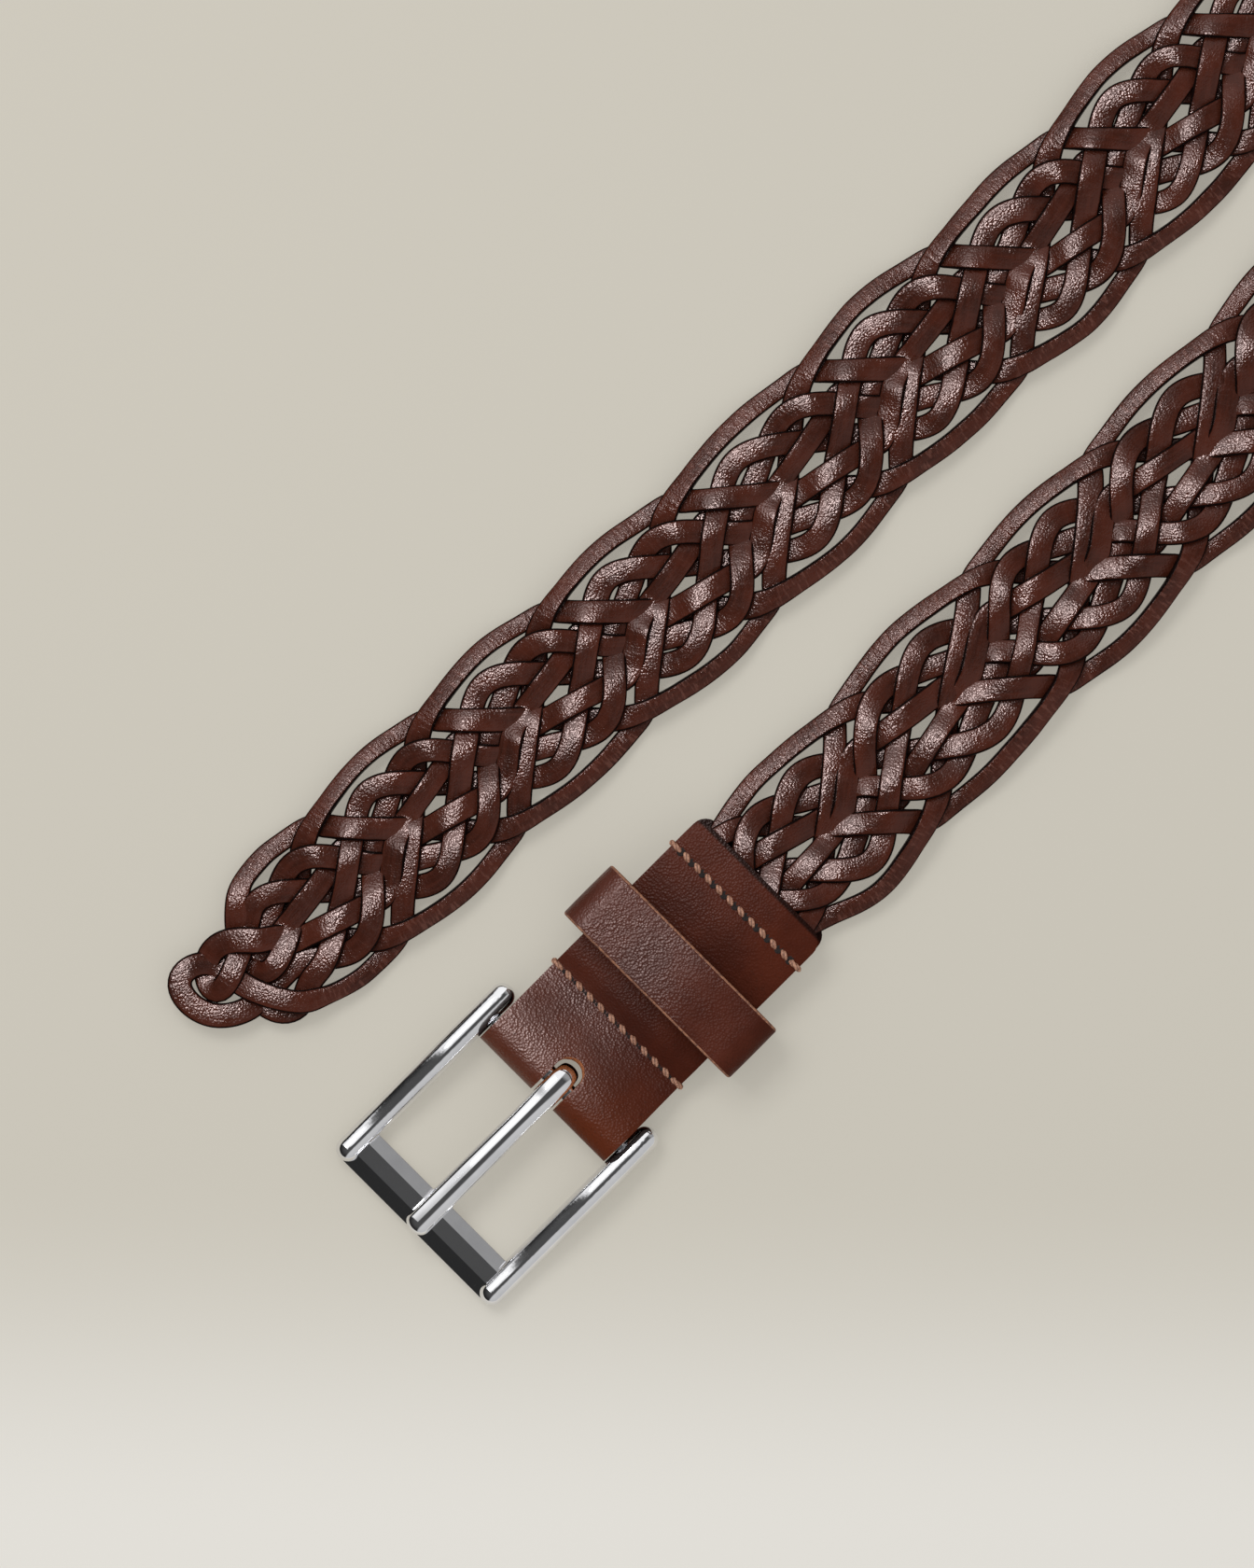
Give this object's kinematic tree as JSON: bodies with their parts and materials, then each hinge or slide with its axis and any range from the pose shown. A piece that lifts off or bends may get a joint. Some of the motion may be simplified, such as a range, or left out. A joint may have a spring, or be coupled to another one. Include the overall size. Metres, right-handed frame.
{
  "type": "leather belt",
  "caption": "Open braided lace-leather belt with looped edges, a stitched leather tab, a leather keeper and a polished prong buckle, laid face up with both ends side by side.",
  "frame": {"origin": "centre of the heel pin, midway between the buckle's arms", "axes": "+X along the strap away from the buckle, +Y to the strap's left, +Z out of the strap's face"},
  "size_m": [0.5023, 0.1242, 0.0323],
  "materials": {
    "polished_nickel": "polished nickel",
    "tab_leather": "smooth chestnut leather, fine grain",
    "lace_leather": "dark brown lace leather with darkened edges",
    "waxed_thread": "waxed tan thread",
    "staple_wire": "plain steel wire"
  },
  "bodies": {
    "strap": {"chape": "tab_leather", "seam_buckle_side": "waxed_thread", "seam_braid_side": "waxed_thread", "edge_lace_a": "lace_leather", "edge_lace_b": "lace_leather", "core_lace_a": "lace_leather", "core_lace_b": "lace_leather", "core_lace_c": "lace_leather"},
    "buckle": {"buckle_frame": "polished_nickel", "heel_pin": "polished_nickel"},
    "prong": {"prong": "polished_nickel"},
    "keeper": {"keeper_loop": "tab_leather", "keeper_staple": "staple_wire"}
  },
  "joints": [
    {"name": "frame_swing", "type": "hinge", "parent": "strap", "child": "buckle", "pos_m": [0, 0, 0], "axis": [0, 1, 0], "range_deg": [-60, 25]},
    {"name": "prong_swing", "type": "hinge", "parent": "buckle", "child": "prong", "pos_m": [0, 0, 0], "axis": [0, 1, 0], "range_deg": [0, 85]},
    {"name": "keeper_slide", "type": "slide", "parent": "strap", "child": "keeper", "axis": [1, 0, 0], "range_m": [-0.003, 0.005]}
  ]
}
